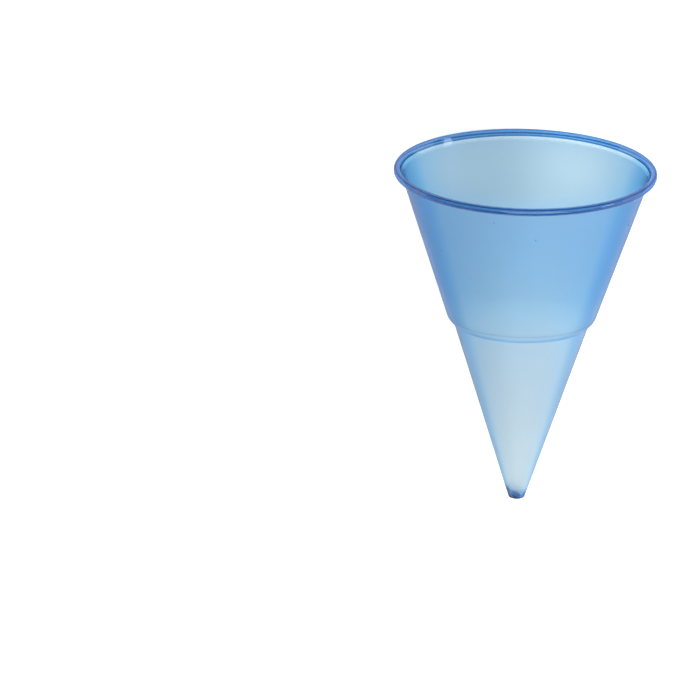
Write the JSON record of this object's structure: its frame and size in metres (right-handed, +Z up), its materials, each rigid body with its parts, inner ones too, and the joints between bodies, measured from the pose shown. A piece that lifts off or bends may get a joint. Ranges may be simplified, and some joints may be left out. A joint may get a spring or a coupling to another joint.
{
  "type": "plastic cone cup",
  "caption": "Conical drinking cup of thin translucent blue plastic with a rolled rim, a stacking shoulder and a small flat tip, lying on its side.",
  "frame": {"origin": "on the floor plane, under the middle of the lying cup's bounding box", "axes": "+Z up, cup lying on its side; tip towards -Y, mouth facing +Y and tipped up, the cup's axis rising 19.93 degrees from +Y towards +Z; X across the cup"},
  "size_m": [0.073, 0.103, 0.0687],
  "materials": {
    "cup_plastic": "translucent satin, glossy at the rolled rim and the thick tip"
  },
  "bodies": {
    "root": {"cup": "cup_plastic"}
  },
  "joints": []
}
